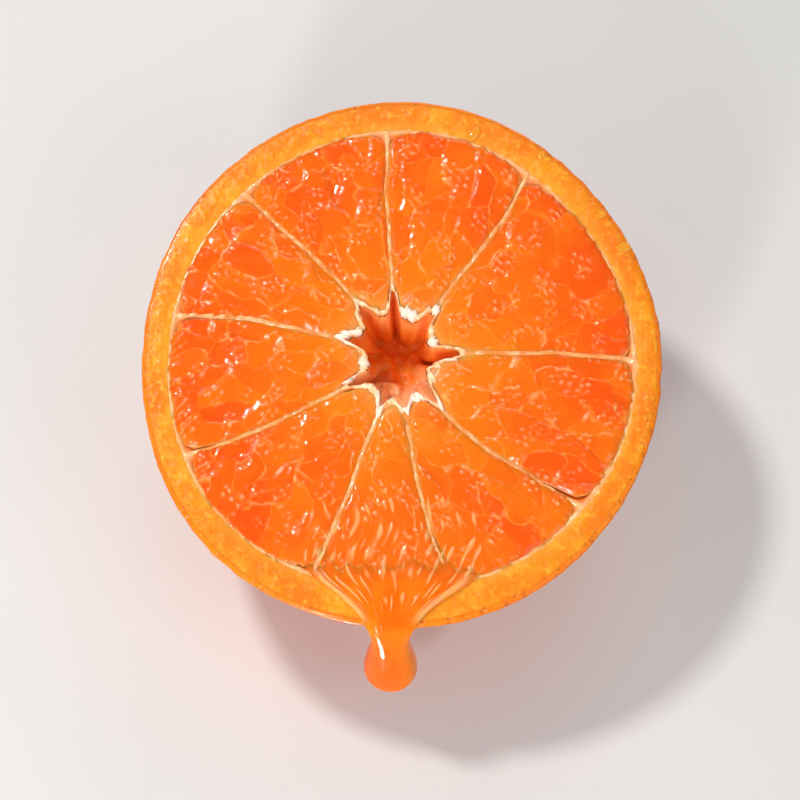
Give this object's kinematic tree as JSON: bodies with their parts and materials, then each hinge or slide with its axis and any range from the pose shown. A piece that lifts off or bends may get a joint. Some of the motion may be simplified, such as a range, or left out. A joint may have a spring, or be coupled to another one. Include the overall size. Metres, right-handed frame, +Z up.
{
  "type": "mandarin orange half",
  "caption": "Half a small flattened citrus fruit with its segments, hollow core and rind cut open, and juice dripping over its rim.",
  "frame": {"origin": "middle of the small flat spot that the half rests on, under the fruit's own axis", "axes": "+Z up along the fruit's axis from its blossom end, -Y towards the low side of the slanted cut, where the drop hangs, +X across"},
  "size_m": [0.0601, 0.0665, 0.0318],
  "materials": {
    "flesh": "gloss",
    "juice": "gloss",
    "rind": "satin",
    "pith": "matte",
    "water": "polished"
  },
  "bodies": {
    "root": {"mandarin_half": "flesh", "juice_drop": "juice"}
  },
  "joints": []
}
